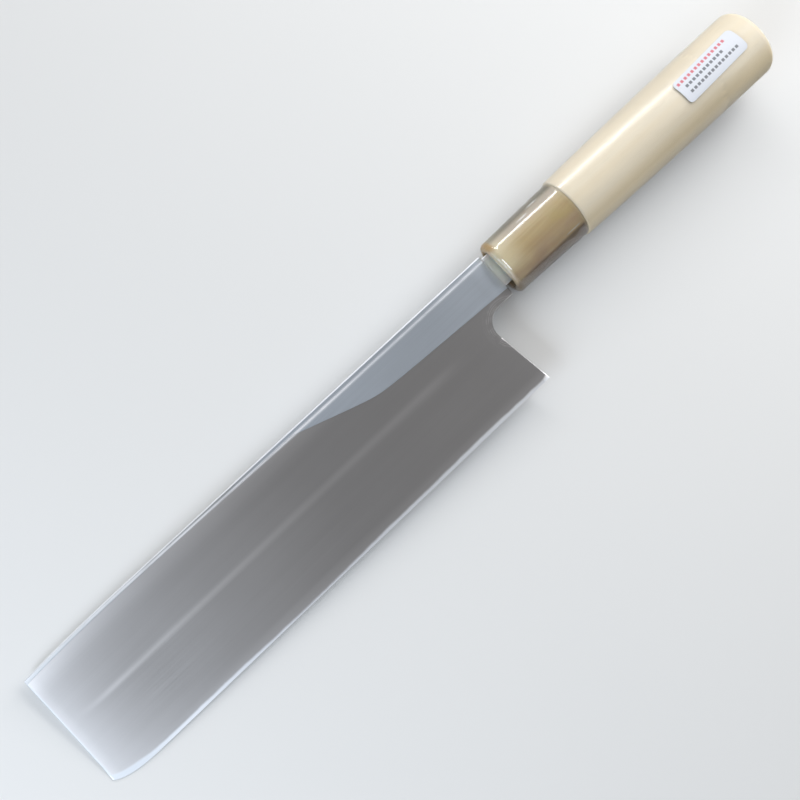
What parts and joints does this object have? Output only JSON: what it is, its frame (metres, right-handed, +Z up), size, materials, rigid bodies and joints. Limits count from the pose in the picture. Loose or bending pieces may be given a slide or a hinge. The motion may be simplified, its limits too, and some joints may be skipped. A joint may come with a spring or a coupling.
{
  "type": "usuba knife",
  "caption": "Single-bevel square-tipped vegetable knife: laminated hollow-ground blade, tang set in an oval wooden grip with a horn ferrule, handle in clear shrink film with a blank label.",
  "frame": {"origin": "on the surface that the knife rests on, below the middle of its bounding box", "axes": "+X from the tip to the butt, +Y from the cutting edge to the spine, +Z up, out of the hollow-ground side"},
  "size_m": [0.3536, 0.054, 0.028],
  "materials": {
    "soft_iron": "flat-ground, satin with fine grinding lines",
    "hard_steel": "hollow-ground satin, bright rims at the edge and tip",
    "horn": "polished blond buffalo horn with fine streaks",
    "wood": "sanded pale magnolia wood, unlacquered",
    "clear_film": "clear glossy shrink film with fine creases",
    "label_paper": "blank white gummed label"
  },
  "bodies": {
    "root": {"blade_body": "soft_iron", "edge_steel": "hard_steel", "horn_ferrule": "horn", "grip": "wood", "shrink_film": "clear_film", "label": "label_paper"}
  },
  "joints": []
}
